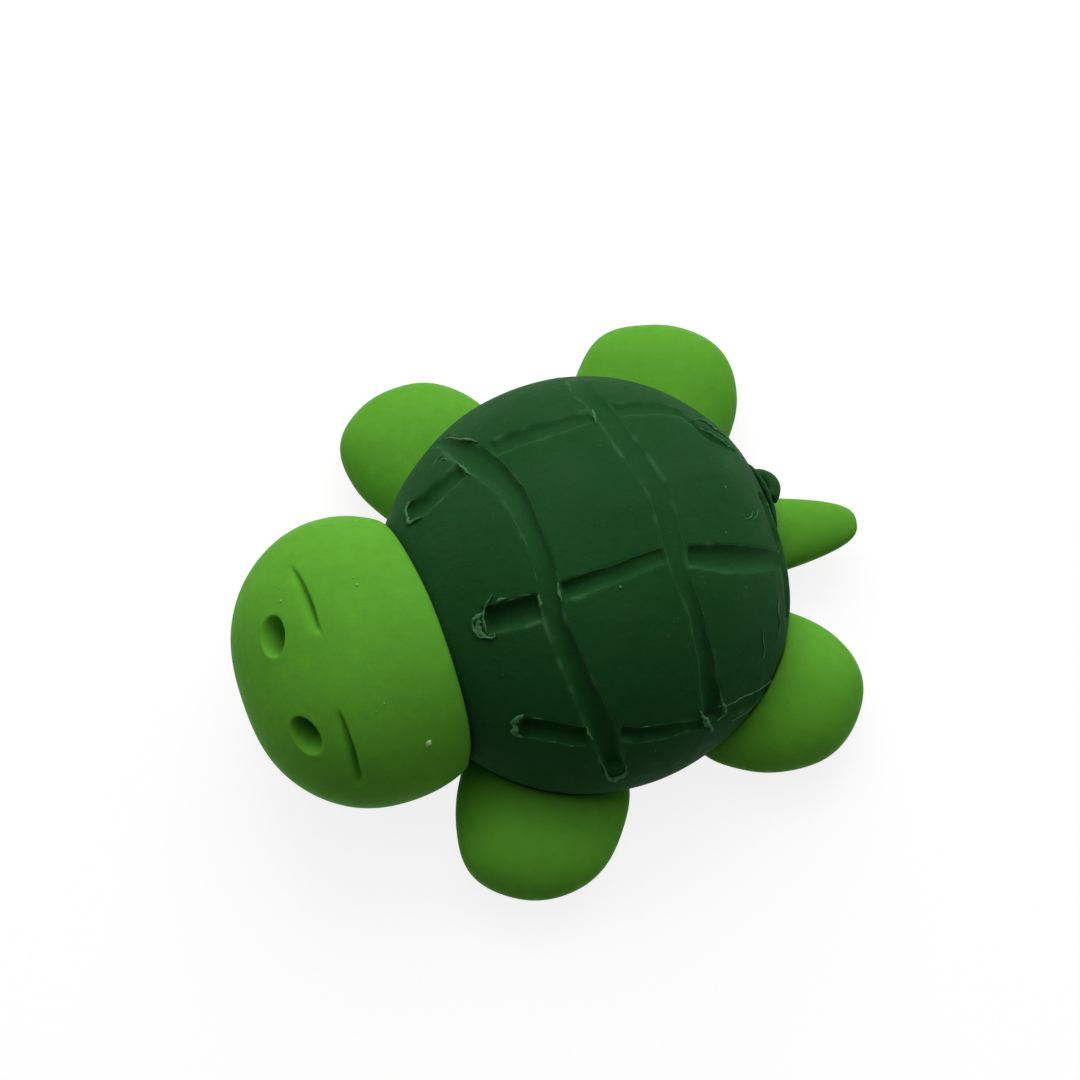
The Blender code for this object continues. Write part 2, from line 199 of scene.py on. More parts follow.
# Shaving at the rear of the shell: the middle of its curl in mm, the turns in degrees between which it runs,
# its radius, how much wider it ends and how much lower, its half width and half thickness, then the points in
# mm of the lip beside it, with its half thickness and half width
CURL_MIDDLE = (-2.99, 19.0, 10.0)
CURL_TURNS = (-150.0, 126.0)
CURL_RADIUS = 1.15 * MM
CURL_OPENING = 0.2 * MM
CURL_DROP = 0.8 * MM
CURL_WIDTH = 1.0 * MM
CURL_THICKNESS = 0.76 * MM
SHAVING_LIP = (
    (-5.7, 18.5, 11.0), (-5.05, 18.8, 10.9), (-3.45, 19.3, 10.7), (-2.15, 19.45, 10.6), (-0.8, 19.45, 10.4),
    (0.6, 19.25, 10.3), (1.3, 19.1, 10.2),
)
SHAVING_LIP_THICKNESS = 0.3 * MM
SHAVING_LIP_WIDTH = 0.5 * MM

# Legs: bearing and turn in degrees, the share by which the top rises towards the outward end, then tuck,
# length, width and thickness in mm
LEGS = {
    "front_left_leg": (58.5, -5.0, 0.4, 8.5, 18.4, 16.8, 7.4),
    "front_right_leg": (-63.0, 7.0, 0.0, 8.6, 18.4, 15.4, 8.2),
    "rear_left_leg": (133.5, 6.0, 0.3, 8.6, 17.6, 16.2, 8.0),
    "rear_right_leg": (-128.5, -5.0, 0.1, 8.2, 18.2, 17.0, 8.4),
}
# How far each lump departs from an oval on the plan, as shares at every 30 degrees round from its outward
# end, for the shell from the animal's left
OUTLINES = {
    "shell": (0.976, 0.983, 1.002, 0.988, 1.026, 1.022, 1.006, 0.993, 1.008, 1.0, 1.0, 0.992),
    "head": (0.988, 1.02, 1.02, 1.0, 1.03, 1.042, 1.01, 0.955, 0.948, 0.993, 1.006, 1.013),
    "front_left_leg": (0.974, 0.974, 0.99, 0.979, 1.033, 1.0, 1.0, 1.03, 1.05, 0.958, 0.95, 1.01),
    "front_right_leg": (0.964, 1.012, 0.951, 0.913, 1.011, 1.0, 1.0, 1.0, 1.005, 1.01, 1.005, 0.955),
    "rear_left_leg": (0.966, 1.01, 0.988, 0.975, 1.02, 1.0, 1.0, 1.0, 1.12, 1.025, 0.966, 0.972),
    "rear_right_leg": (0.972, 0.968, 1.039, 0.97, 1.0, 1.0, 1.0, 1.0, 1.004, 0.964, 0.983, 1.016),
}
# Bearing in degrees at which the tail leaves the rim of the shell
TAIL_BEARING = 179.0
# Rounding of the tail's hidden end, and how far beyond the rim its surface is looked for from
TAIL_END_EDGE = 0.4 * MM
TAIL_MIDDLE = 0.8 * MM
# The middle of the face and the left eye, as bearing and latitude in degrees before the face is turned
FACE_MIDDLE = (0.0, 52.0)
LEFT_EYE = (30.0, 47.0)
# Rim that the stick raised round an eye
EYE_RIM = 0.06 * MM
# Brow cuts on the head: how fast their steep side, their sloping side and their ends fall off, how far from
# them they are looked for, then their points with bearing and latitude in degrees and depth in mm
BROW_STEEP = 0.15 * MM
BROW_SLOPE = 0.42 * MM
BROW_END = 0.3 * MM
BROW_MARGIN = 2.0 * MM
BROWS = (
    ((54.6, 57.1, 0.1), (60.5, 50.8, 0.8), (65.4, 41.6, 1.3), (67.5, 33, 1.5), (68.9, 25.5, 1.2),
     (69.5, 21.3, 0.1)),
    ((-63.2, 48.4, 0.1), (-60.6, 55.9, 0.7), (-54.2, 63.7, 1.1), (-43.5, 69.5, 1.1), (-26.7, 73.1, 0.7),
     (-13.8, 74.7, 0.1)),
)

# Windows that light the stage: swing from the far side to the right and height in degrees, share of power
WINDOWS = {
    "far_window": (0.0, 35.0, 0.51),
    "skylight": (0.0, 65.0, 0.24),
    "front_window": (-60.0, 35.0, 0.12),
    "rear_window": (60.0, 35.0, 0.13),
}
WHITE = (1.0, 1.0, 1.0, 1.0)
# Floor: half its side in metres, its brightness as the clay and as the camera see it, and its glow
FLOOR_HALF = 3.0
FLOOR_BOUNCE = 0.72
FLOOR_TONE = 0.22
FLOOR_GLOW = 0.85
# How far from the middle of the head and of the other lumps their surface is looked for
HEAD_REACH = 30.0 * MM
LUMP_REACH = 20.0 * MM


class ShellSettings(bpy.types.PropertyGroup):
    """Sizes of the gouged dome."""

    width: FloatProperty(
        name="Width", description="Across the widest line", default=SHELL_HIGH.x - SHELL_LOW.x, unit="LENGTH")
    length: FloatProperty(
        name="Length", description="From front to rear", default=SHELL_HIGH.y - SHELL_LOW.y, unit="LENGTH")
    height: FloatProperty(
        name="Height", description="From the table to the crown", default=SHELL_HIGH.z, unit="LENGTH")
    rim_height: FloatProperty(
        name="Rim height", description="Height of the widest line", default=8.3 * MM, unit="LENGTH")
    belly_drop: FloatProperty(
        name="Belly drop", description="Depth of the lower curve before it is pressed flat",
        default=9.4 * MM, unit="LENGTH")
    lip_height: FloatProperty(
        name="Lip height", description="Height of the torn clay along the grooves",
        default=0.13 * MM, unit="LENGTH")


class HeadSettings(bpy.types.PropertyGroup):
    """Sizes of the head and of the marks in its face."""

    width: FloatProperty(
        name="Width", description="Across the widest line", default=HEAD_HIGH.x - HEAD_LOW.x, unit="LENGTH")
    length: FloatProperty(
        name="Length", description="Length of the ball before it is pressed on",
        default=24.6 * MM, unit="LENGTH")
    height: FloatProperty(
        name="Height", description="From the table to the top", default=HEAD_HIGH.z, unit="LENGTH")
    rim_height: FloatProperty(
        name="Rim height", description="Height of the widest line", default=10.0 * MM, unit="LENGTH")
    chin_drop: FloatProperty(
        name="Chin drop", description="Depth of the lower curve before it is pressed flat",
        default=11.6 * MM, unit="LENGTH")
    press: FloatProperty(
        name="Press", description="How far the ball laps over the shell", default=9.8 * MM, unit="LENGTH")
    nape_power: FloatProperty(
        name="Nape power", description="Fullness of the nape, where 2 is a plain oval", default=2.7)
    face_roll: FloatProperty(
        name="Face roll", description="Turn of the face about the heading",
        default=12.0 * DEG, subtype="ANGLE")
    eye_width: FloatProperty(
        name="Eye width", description="Width of an eye hole", default=3.5 * MM, unit="LENGTH")
    eye_height: FloatProperty(
        name="Eye height", description="Height of an eye hole", default=2.45 * MM, unit="LENGTH")
    eye_depth: FloatProperty(
        name="Eye depth", description="Depth of an eye hole", default=5.2 * MM, unit="LENGTH")
    eye_tilt: FloatProperty(
        name="Eye tilt", description="Slant of the eyes, outer ends up", default=17.0 * DEG, subtype="ANGLE")


class LegSettings(bpy.types.PropertyGroup):
    """Sizes that the four legs share."""

    rim_height: FloatProperty(
        name="Rim height", description="Height of the widest line", default=3.7 * MM, unit="LENGTH")
    sole_drop: FloatProperty(
        name="Sole drop", description="Depth of the lower curve before it is pressed flat",
        default=4.4 * MM, unit="LENGTH")


class TailSettings(bpy.types.PropertyGroup):
    """Sizes of the tail."""

    length: FloatProperty(
        name="Length", description="Whole length, tucked part included", default=15.65 * MM, unit="LENGTH")
    tuck: FloatProperty(
        name="Tuck", description="Length under the rim of the shell", default=7.5 * MM, unit="LENGTH")
    diameter: FloatProperty(
        name="Diameter", description="Diameter at the rim", default=7.45 * MM, unit="LENGTH")
    bluntness: FloatProperty(
        name="Bluntness", description="Power by which the width falls to the tip", default=0.36)
    flatness: FloatProperty(
        name="Flatness", description="Height over width above the axis", default=0.55)
    axis_height: FloatProperty(
        name="Axis height", description="Height of the axis at the rim", default=4.6 * MM, unit="LENGTH")
    turn: FloatProperty(
        name="Turn", description="Turn to the left", default=11.5 * DEG, subtype="ANGLE")
    lift: FloatProperty(
        name="Lift", description="Rise of the axis towards the tip", default=2.0 * DEG, subtype="ANGLE")


class ClaySettings(bpy.types.PropertyGroup):
    """Colours of the two clays and how they are pressed together."""

    light_green: FloatVectorProperty(
        name="Light green", description="Clay of the head, legs and tail", subtype="COLOR", size=3,
        default=(0.122, 0.415, 0.031))
    dark_green: FloatVectorProperty(
        name="Dark green", description="Clay of the shell", subtype="COLOR", size=3,
        default=(0.0128, 0.0755, 0.0175))
    gap: FloatProperty(
        name="Press gap", description="Gap between pressed lumps", default=0.1 * MM, unit="LENGTH")
    soft_edge: FloatProperty(
        name="Soft edge", description="Rounding where lumps are pressed", default=1.0 * MM, unit="LENGTH")


class StageSettings(bpy.types.PropertyGroup):
    """Camera, light and floor."""

    azimuth: FloatProperty(
        name="Azimuth", description="Camera bearing", default=70.0 * DEG, subtype="ANGLE")
    elevation: FloatProperty(
        name="Elevation", description="Camera height above the horizon", default=74.0 * DEG, subtype="ANGLE")
    distance: FloatProperty(
        name="Distance", description="Camera distance from the belly", default=0.28, unit="LENGTH")
    lens: FloatProperty(
        name="Lens", description="Focal length in mm on a 36 mm sensor", default=94.73)
    key_power: FloatProperty(
        name="Key power", description="Power of all windows together in watts", default=6.1)
    window_size: FloatProperty(
        name="Window size", description="Side of each square window", default=0.6, unit="LENGTH")
    window_distance: FloatProperty(
        name="Window distance", description="Distance of the windows from the belly",
        default=0.7, unit="LENGTH")
    fill: FloatProperty(
        name="Fill", description="Strength of the light from all round", default=0.056)


class TortoiseSettings(bpy.types.PropertyGroup):
    """All settings of the figure."""

    shell: PointerProperty(type=ShellSettings)
    head: PointerProperty(type=HeadSettings)
    legs: PointerProperty(type=LegSettings)
    tail: PointerProperty(type=TailSettings)
    clay: PointerProperty(type=ClaySettings)
    stage: PointerProperty(type=StageSettings)


def settings(context):
    """The settings of the whole figure."""
    return context.scene.tortoise


# Fields and surfaces

def unit_of(vectors):
    """Vectors scaled to length 1 along their last axis."""
    return vectors / np.linalg.norm(vectors, axis=-1, keepdims=True)


def ease(t):
    """3t^2 - 2t^3, which leaves 0 and reaches 1 level."""
    return t * t * (3.0 - 2.0 * t)


def hand_noise(points, cell, seed, height=1.0):
    """Smooth noise between -height and height.

    Random values on a cubic lattice of the given cell, blended by 3t^2 - 2t^3 and repeated after 32 cells."""
    count = 32
    table = np.random.default_rng(seed).uniform(-1.0, 1.0, (count, count, count))
    place = points / cell
    corner = np.floor(place).astype(int)
    t = ease(place - corner)
    total = np.zeros(points.shape[:-1])
    for step in np.ndindex(2, 2, 2):
        weight = np.prod(np.abs(1 - np.array(step) - t), axis=-1)
        i, j, k = np.moveaxis((corner + step) % count, -1, 0)
        total += weight * table[i, j, k]
    return height * total


def catmull_rom(a, b, c, d, t):
    """The Catmull-Rom curve from b to c at shares t of the way, with a before them and d after them."""
    bend = 2 * a - 5 * b + 4 * c - d
    twist = 3 * b - a - 3 * c + d
    return 0.5 * (2 * b + (c - a) * t + bend * t ** 2 + twist * t ** 3)


def smooth_max(a, b, k):
    """The larger of two fields, rounded over a width k: max(a, b) plus k h (1 - h) near the seam."""
    h = np.clip(0.5 + 0.5 * (a - b) / k, 0.0, 1.0)
    return b + (a - b) * h + k * h * (1.0 - h)


def smooth_step(low, high, value):
    """0 below low, 1 above high and 3t^2 - 2t^3 between."""
    return ease(np.clip((value - low) / (high - low), 0.0, 1.0))


def directions_of(bearing, latitude):
    """Unit directions of bearings and latitudes in degrees."""
    b, lat = np.radians(bearing), np.radians(latitude)
    return np.stack([np.cos(lat) * np.sin(b), -np.cos(lat) * np.cos(b), np.sin(lat)], axis=-1)


def outline_share(angle, shares):
    """Shares given at even steps round a lump, blended between by a closed Catmull-Rom curve."""
    table = np.array(shares)
    place = np.mod(angle / (2.0 * math.pi), 1.0) * len(table)
    step = np.floor(place).astype(int)
    knots = (table[(step + shift) % len(table)] for shift in (-1, 0, 1, 2))
    return catmull_rom(*knots, place - step)


def ball_field(points, halves, drop, shares, nape_power=2.0, crest=0.0):
    """Radial distance to a ball whose half sizes run outwards, across and up, with drop for the lower half.

    Shares widen or narrow its plan round the outward end, the nape power fills its upper rear, and the crest
    is the share by which its top rises towards the outward end."""
    x, y = points[..., 0] / halves[0], points[..., 1] / halves[1]
    rise = halves[2] * (1.0 + crest * np.clip(x, -0.6, 0.8))
    z = points[..., 2] / np.where(points[..., 2] > 0.0, rise, drop)
    share = outline_share(np.arctan2(y, x), shares)
    x, y = x / share, y / share
    power = np.where((x < 0.0) & (z > 0.0), nape_power, 2.0)
    size = np.hypot((np.abs(x) ** power + np.abs(z) ** power) ** (1.0 / power), y)
    return np.linalg.norm(points, axis=-1) * (1.0 - 1.0 / np.maximum(size, 1e-6))


def shell_halves(shell):
    """Half width, half length and rise of the dome."""
    return np.array([shell.width / 2, shell.length / 2, shell.height - shell.rim_height])


def shell_field(points, shell):
    """Radial distance to the smooth outside of the shell."""
    offset = points - UP * shell.rim_height
    return ball_field(offset, shell_halves(shell), shell.belly_drop, OUTLINES["shell"])


def dome_scale(directions, shell):
    """Half sizes of the shell towards directions: its plan shaped by its outline, then its rise or drop."""
    wide, long, rise = shell_halves(shell)
    share = outline_share(np.arctan2(directions[..., 1], directions[..., 0]), OUTLINES["shell"])
    upright = np.where(directions[..., 2] > 0.0, rise, shell.belly_drop)
    return np.stack([wide * share, long * share, upright], axis=-1)


def polar_grid(columns, angles, pole):
    """Unit directions of a closed polar grid about an axis: its rows one after another, then its two poles.

    Each row lies at its own angle from the pole, and the columns are even turns about it."""
    axis = unit_of(np.array(pole))
    side = unit_of(np.cross(axis, UP if abs(axis[2]) < 0.9 else LEFT))
    turn = 2.0 * math.pi * np.arange(columns) / columns
    ring = np.cos(turn)[:, None] * side + np.sin(turn)[:, None] * np.cross(axis, side)
    grid = np.cos(angles)[:, None, None] * axis + np.sin(angles)[:, None, None] * ring
    return np.concatenate([grid.reshape(-1, 3), [axis, -axis]])


def row_angles(near, far, share):
    """Angles from the pole: near rows spread evenly over a share of the half turn, far rows over the rest."""
    edge = math.pi * share
    return np.concatenate([np.linspace(0.0, edge, near + 1)[1:], np.linspace(edge, math.pi, far + 1)[1:-1]])


def fan_faces(rows, columns):
    """Quads of a grid of rows by columns closed round its columns, and the triangles of its two end fans.

    The first pole follows the grid's points, and the last pole comes after it."""
    here = np.arange(rows * columns).reshape(rows, columns)
    beside = np.roll(here, -1, axis=1)
    quads = np.stack([here[:-1], here[1:], beside[1:], beside[:-1]], axis=-1).reshape(-1, 4)
    first, last = rows * columns, rows * columns + 1
    top = np.stack([np.full(columns, first), here[0], beside[0]], axis=-1)
    bottom = np.stack([np.full(columns, last), beside[-1], here[-1]], axis=-1)
    return quads, np.concatenate([top, bottom])


def add_mesh(name, points, quads, triangles, attributes=None):
    """A smooth shaded object from arrays of points, quads and triangles, with point attributes."""
    mesh = bpy.data.meshes.new(name)
    mesh.vertices.add(len(points))
    mesh.vertices.foreach_set("co", np.ascontiguousarray(points, dtype=np.float32).ravel())
    corners = np.concatenate([quads.ravel(), triangles.ravel()]).astype(np.int32)
    starts = np.concatenate([np.arange(len(quads)) * 4, len(quads) * 4 + np.arange(len(triangles)) * 3])
    mesh.loops.add(len(corners))
    mesh.loops.foreach_set("vertex_index", corners)
    mesh.polygons.add(len(starts))
    mesh.polygons.foreach_set("loop_start", starts.astype(np.int32))
    mesh.polygons.foreach_set("use_smooth", np.ones(len(starts), dtype=bool))
    mesh.update(calc_edges=True)
    for key, values in (attributes or {}).items():
        layer = mesh.attributes.new(key, "FLOAT", "POINT")
        layer.data.foreach_set("value", values.astype(np.float32).ravel())
    mesh.validate()
    piece = bpy.data.objects.new(name, mesh)
    bpy.context.scene.collection.objects.link(piece)
    return piece


def outward_faces(points, quads, triangles):
    """The same faces, turned round if they enclose a negative volume."""
    a, b, c, d = (points[quads[:, corner]] for corner in range(4))
    volume = np.einsum("ij,ij->", a, np.cross(b, c)) + np.einsum("ij,ij->", a, np.cross(c, d))
    if volume < 0.0:
        return quads[:, ::-1], triangles[:, ::-1]
    return quads, triangles


def add_closed(name, points, rows, attributes=None):
    """A closed piece from the rows of a polar grid of points, followed by its two poles."""
    columns = (len(points) - 2) // rows
    quads, triangles = outward_faces(points, *fan_faces(rows, columns))
    return add_mesh(name, points, quads, triangles, attributes)


def pressed_surface(middle, directions, field, reach):
    """Points where a field changes sign along directions from the middle, found by halving the distance."""
    low = np.zeros(directions.shape[:-1])
    high = np.full(directions.shape[:-1], reach)
    halvings = 26
    for _ in range(halvings):
        half = (low + high) / 2.0
        inside = field(middle + directions * half[..., None]) < 0.0
        low = np.where(inside, half, low)
        high = np.where(inside, high, half)
    return middle + directions * high[..., None]


def add_pressed_lump(name, middle, field, columns, angles, pole):
    """A closed lump whose surface is the zero of a field, seen from its middle."""
    points = pressed_surface(middle, polar_grid(columns, angles, pole), field, LUMP_REACH)
    return add_closed(name, points, len(angles))


def rim_point(bearing, shell):
    """The point of the shell's widest line at a bearing in degrees, at table height."""
    level = directions_of(bearing, 0.0)
    return level / math.hypot(level[0] / (shell.width / 2), level[1] / (shell.length / 2))


def pressed_field(points, ball, figure, soft):
    """A ball that the shell and the table have pressed: the largest of the three fields.

    It is rounded over the clay's soft edge times soft."""
    edge = figure.clay.soft_edge * soft
    seat = figure.clay.gap - shell_field(points, figure.shell)
    pressed = smooth_max(ball, seat, edge)
    return smooth_max(pressed, -points[..., 2], edge)


# Grooves

def groove_course(stops, count=400):
    """Stops of bearing, latitude and further values, as evenly spaced unit directions and those values.

    The curve through the stops is a Catmull-Rom one."""
    table = np.array(stops, dtype=float)
    knots = np.concatenate([directions_of(table[:, 0], table[:, 1]), table[:, 2:]], axis=1)
    ends = np.concatenate([2 * knots[:1] - knots[1:2], knots, 2 * knots[-1:] - knots[-2:-1]])
    place = np.linspace(0.0, len(knots) - 1.0, count * 4)
    span = np.minimum(place.astype(int), len(knots) - 2)
    curve = catmull_rom(*(ends[span + shift] for shift in range(4)), (place - span)[:, None])
    curve[:, :3] = unit_of(curve[:, :3])
    run = np.concatenate([[0.0], np.cumsum(np.linalg.norm(np.diff(curve[:, :3], axis=0), axis=1))])
    even = np.linspace(0.0, run[-1], count)
    course = np.stack([np.interp(even, run, column) for column in curve.T], axis=1)
    return unit_of(course[:, :3]), course[:, 3:]


def on_shell(directions, shell):
    """Points and outward normals of the smooth shell for unit directions."""
    scale = dome_scale(directions, shell)
    return directions * scale + UP * shell.rim_height, unit_of(directions / scale)


def line_axes(points, normals):
    """Tangents of a line on a surface, and the directions sideways from it along the surface."""
    tangents = unit_of(np.gradient(points, axis=0))
    return tangents, np.cross(normals, tangents)


def near_line(points, line, margin):
    """Numbers of the points that lie in the box round a line, widened by a margin."""
    inside = (points > line.min(0) - margin) & (points < line.max(0) + margin)
    return np.flatnonzero(np.all(inside, axis=1))


def nearest_on_line(points, line):
    """For each point the number of the nearest point of a line, and the offset from it."""
    nearest = ((points[:, None] - line[None]) ** 2).sum(2).argmin(1)
    return nearest, points - line[nearest]


def make_groove(name, power, directions, sizes, shell):
    """A groove as arrays: its line on the dome, tangents, sideways directions, half widths and depths."""
    points, normals = on_shell(directions, shell)
    tangents, sideways = line_axes(points, normals)
    uneven = 1.0 + hand_noise(points, cell=3.0 * MM, seed=11, height=0.05)
    return {"name": name, "points": points, "tangents": tangents, "sideways": sideways,
            "half": 0.5 * MM * sizes[:, 0] * uneven, "depth": MM * sizes[:, 1], "power": power}


def all_grooves(shell):
    """The cross grooves whole, and the long ones cut up where a cross groove runs."""
    grooves = []
    for name, (power, stops) in CROSS_GROOVES.items():
        grooves.append(make_groove(name, power, *groove_course(stops), shell))
    crosses = list(grooves)
    for name, (power, stops) in LONG_GROOVES.items():
        directions, sizes = groove_course(stops)
        points, _ = on_shell(directions, shell)
        clear = np.ones(len(points), dtype=bool)
        for cross in crosses:
            nearest, offset = nearest_on_line(points, cross["points"])
            clear &= np.linalg.norm(offset, axis=1) > cross["half"][nearest] + WALL_AT_CROSSING
        edges = np.flatnonzero(np.diff(np.concatenate([[0], clear.astype(int), [0]])))
        for number, (start, stop) in enumerate(zip(edges[::2], edges[1::2])):
            if stop - start > SHORTEST_STRETCH:
                piece = (directions[start:stop], sizes[start:stop])
                grooves.append(make_groove(f"{name}_{number}", power, *piece, shell))
    return grooves


def groove_relief(points, grooves):
    """Depth of the grooves below points of the dome, and how torn the clay is there.

    A groove is a U: depth times 1 - t^power of the sideways distance over the half width, eased into the dome
    and cut off beyond its blunt ends. Where grooves meet the deepest holds."""
    relief = np.zeros(len(points))
    torn = np.zeros(len(points))
    for groove in grooves:
        line = groove["points"]
        near = near_line(points, line, groove["half"].max() + GROOVE_MARGIN)
        for part in np.array_split(near, max(1, len(near) // BATCH)):
            nearest, offset = nearest_on_line(points[part], line)
            tangents = groove["tangents"][nearest]
            along = (offset * tangents).sum(1)
            across = np.linalg.norm(offset - along[:, None] * tangents, axis=1)
            beyond = np.where(nearest == 0, -along, np.where(nearest == len(line) - 1, along, 0.0))
            beyond = np.maximum(beyond, 0.0)
            half = groove["half"][nearest]
            t = np.minimum(across / half, 3.0)
            depth = smooth_max(groove["depth"][nearest] * (1.0 - t ** groove["power"]), 0.0, GROOVE_EASE)
            depth *= 1.0 - smooth_step(0.0, GROOVE_END, beyond)
            relief[part] = np.maximum(relief[part], depth)
            rim = np.exp(-((across - half) / TORN_RIM) ** 2) * (beyond < GROOVE_END)
            torn[part] = np.maximum(torn[part], rim)
    return relief, torn


def drop_on_shell(points, shell):
    """Points moved radially onto the smooth dome, with the normals there."""
    offset = points - UP * shell.rim_height
    directions = offset / dome_scale(offset / shell_halves(shell), shell)
    return on_shell(unit_of(directions), shell)


def swelling(count, margin, power):
    """Shares that swell from both ends of a line: a power of half a sine wave, less a margin at each end."""
    return np.sin(np.linspace(margin, math.pi - margin, count)) ** power


def ribbon(path, upward, sideways, height, thickness, count=6):
    """A closed tube along a path: at each point an oval, height up and thickness sideways, as half sizes."""
    turn = 2.0 * math.pi * np.arange(count) / count
    rise = upward[:, None] * (height[:, None] * np.sin(turn))[..., None]
    return path[:, None] + rise + sideways[:, None] * (thickness[:, None] * np.cos(turn))[..., None]


def add_tubes(name, tubes, torn=1.0, full=0.0):
    """One object of many closed tubes, each an array of rings.

    With a full size given, rings smaller than it are less pale than torn clay."""
    points, quads, triangles, pale, start = [], [], [], [], 0
    for rings in tubes:
        share = np.full(len(rings), torn)
        if full:
            reach = np.linalg.norm(rings - rings.mean(axis=1, keepdims=True), axis=2).max(axis=1)
            share *= THIN_LIP_PALENESS + (1.0 - THIN_LIP_PALENESS) * smooth_step(0.25 * full, full, reach)
        pale.append(np.concatenate([np.repeat(share, rings.shape[1]), share[[0, -1]]]))
        cloud = np.concatenate([rings.reshape(-1, 3), rings[[0, -1]].mean(axis=1)])
        four, three = outward_faces(cloud - cloud.mean(axis=0), *fan_faces(*rings.shape[:2]))
        points.append(cloud)
        quads.append(four + start)
        triangles.append(three + start)
        start += len(cloud)
    points = np.concatenate(points)
    values = {"torn": np.concatenate(pale)}
    return add_mesh(name, points, np.concatenate(quads), np.concatenate(triangles), values)


# Materials

class NodeBench:
    """Adds nodes to a material or a world, one call each."""

    def __init__(self, owner):
        """Start from an empty tree."""
        owner.use_nodes = True
        self.tree = owner.node_tree
        self.tree.nodes.clear()

    def add(self, kind, values=None, **options):
        """A node with its options set, and each value typed into a socket or linked to it."""
        node = self.tree.nodes.new(kind)
        for key, value in options.items():
            setattr(node, key, value)
        for key, value in (values or {}).items():
            if isinstance(value, bpy.types.NodeSocket):
                self.tree.links.new(value, node.inputs[key])
            else:
                node.inputs[key].default_value = value
        return node

    def noise(self, place, scale, detail, roughness=0.55):
        """Fractal noise from 0 to 1."""
        values = {"Vector": place, "Scale": scale, "Detail": detail, "Roughness": roughness}
        return self.add("ShaderNodeTexNoise", values).outputs["Fac"]

    def spread(self, value, low, high, to_low=0.0, to_high=1.0):
        """A value from low to high stretched to another range."""
        values = {"Value": value, "From Min": low, "From Max": high, "To Min": to_low, "To Max": to_high}
        return self.add("ShaderNodeMapRange", values).outputs["Result"]

    def join(self, first, second, operation="ADD"):
        """Two numbers joined by an operation."""
        return self.add("ShaderNodeMath", {0: first, 1: second}, operation=operation).outputs[0]

    def times(self, first, second):
        """Two numbers multiplied."""
        return self.join(first, second, "MULTIPLY")

    def blend(self, factor, first, second):
        """Two colours mixed by a factor."""
        return self.add("ShaderNodeMix", {0: factor, 6: first, 7: second}, data_type="RGBA").outputs[2]

    def specks(self, place, scale, share, channel, outer, inner):
        """1 inside spots in a share of the cells of a scale, fading from an inner reach to an outer one.

        The channel of each cell's random colour draws the cells that have a spot."""
        cells = self.add("ShaderNodeTexVoronoi", {"Vector": place, "Scale": scale, "Randomness": 1.0}).outputs
        lot = self.add("ShaderNodeSeparateColor", {"Color": cells["Color"]}).outputs[channel]
        spot = self.spread(cells["Distance"], outer, inner)
        return self.times(spot, self.join(lot, 1.0 - share, "GREATER_THAN"))

    def seen_rays(self):
        """1 for rays by which the picture shows a thing itself, 0 for rays that only carry its light."""
        path = self.add("ShaderNodeLightPath").outputs
        mirrored = self.join(path["Is Glossy Ray"], path["Is Transmission Ray"], "MAXIMUM")
        return self.join(path["Is Camera Ray"], mirrored, "MAXIMUM")


def shade(colour, by):
    """A colour with each channel times a number, as RGBA."""
    return tuple(min(1.0, channel * by) for channel in colour) + (1.0,)


def toward(colour, other, share):
    """A colour moved towards another by a share, as RGBA."""
    return tuple(a + (b - a) * share for a, b in zip(colour, other)) + (1.0,)


